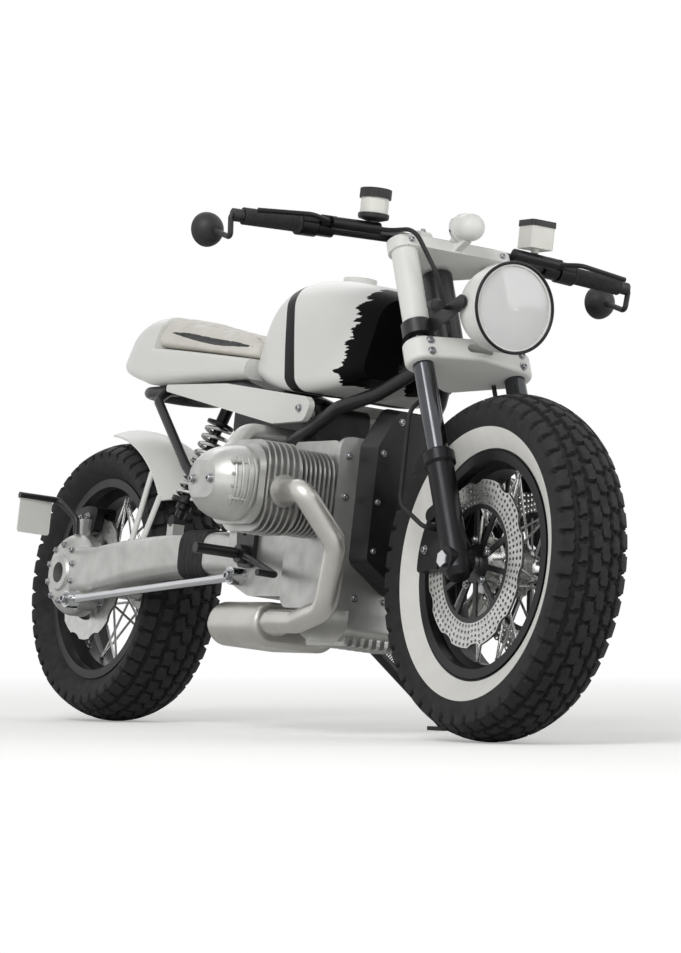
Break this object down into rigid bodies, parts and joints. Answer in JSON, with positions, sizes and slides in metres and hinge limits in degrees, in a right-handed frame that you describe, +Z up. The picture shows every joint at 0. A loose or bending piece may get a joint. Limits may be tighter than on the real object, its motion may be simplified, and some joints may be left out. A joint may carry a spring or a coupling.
{
  "type": "cafe racer motorcycle",
  "caption": "Parked cafe racer with an opposed-cylinder engine, wire wheels, hump seat and low bar; its wheels roll, its fork steers and its side stand folds.",
  "frame": {"origin": "on the floor under the middle of the machine's bounding box, as it stands parked", "axes": "+X forward, +Y to the rider's left, the side it leans to, +Z up from the floor"},
  "size_m": [2.1198, 0.9787, 1.0652],
  "materials": {
    "white_paint": "gloss",
    "black_paint": "satin",
    "cast_alloy": "satin",
    "dark_alloy": "anodised",
    "fork_steel": "polished",
    "spoke_steel": "brushed",
    "tyre_rubber": "matt",
    "grip_rubber": "matt",
    "seat_leather": "soft",
    "black_plastic": "matt",
    "pale_plastic": "translucent",
    "lamp_glass": "clear"
  },
  "bodies": {
    "chassis": {"frame": "black_paint", "engine_case": "cast_alloy", "front_cover": "black_paint", "sump": "cast_alloy", "cylinders": "cast_alloy", "heads": "cast_alloy", "valve_covers": "cast_alloy", "intakes": "cast_alloy", "airbox": "black_plastic", "exhaust_headers": "cast_alloy", "muffler": "cast_alloy", "swingarm": "cast_alloy", "final_drive": "cast_alloy", "torque_arm": "fork_steel", "rear_shock": "spoke_steel", "rear_caliper": "dark_alloy", "tank": "white_paint", "seat_cowl": "white_paint", "seat_pad": "seat_leather", "side_panels": "white_paint", "rear_fender": "white_paint", "plate_bracket": "black_paint", "foot_brackets": "black_paint", "foot_levers": "black_paint", "stand_bracket": "black_paint"},
    "steering": {"lower_clamp": "white_paint", "upper_clamp": "white_paint", "fork_tubes": "fork_steel", "fork_sliders": "dark_alloy", "front_axle": "fork_steel", "calipers": "dark_alloy", "handlebar": "black_paint", "grips": "grip_rubber", "hand_controls": "dark_alloy", "reservoirs": "pale_plastic", "mirrors": "black_plastic", "headlight_shell": "white_paint", "headlight_lens": "lamp_glass", "headlight_bracket": "black_paint", "instrument_pod": "white_paint", "indicators": "black_plastic", "fork_sleeves": "white_paint", "brake_hoses": "grip_rubber"},
    "front_wheel": {"tyre_front": "tyre_rubber", "rim_front": "dark_alloy", "spokes_front": "spoke_steel", "discs_front": "spoke_steel", "disc_carriers": "black_paint"},
    "rear_wheel": {"tyre_rear": "tyre_rubber", "rim_rear": "dark_alloy", "spokes_rear": "spoke_steel", "disc_rear": "spoke_steel"},
    "side_stand": {"side_stand": "black_paint"}
  },
  "joints": [
    {"name": "steering_turn", "type": "hinge", "parent": "chassis", "child": "steering", "pos_m": [0.42943, -0.01695, 0.79992], "axis": [-0.454, 0.1117, 0.884], "range_deg": [-32, 32]},
    {"name": "front_wheel_spin", "type": "hinge", "parent": "steering", "child": "front_wheel", "pos_m": [0.73, -0.07652, 0.32831], "axis": [0, 0.9921, -0.1253], "continuous": true},
    {"name": "rear_wheel_spin", "type": "hinge", "parent": "chassis", "child": "rear_wheel", "pos_m": [-0.76, -0.08027, 0.2987], "axis": [0, 0.9921, -0.1253], "continuous": true},
    {"name": "side_stand_fold", "type": "hinge", "parent": "chassis", "child": "side_stand", "pos_m": [0.04, 0.03171, 0.18772], "axis": [0.1035, 0.7524, 0.6505], "range_deg": [0, 100]}
  ]
}
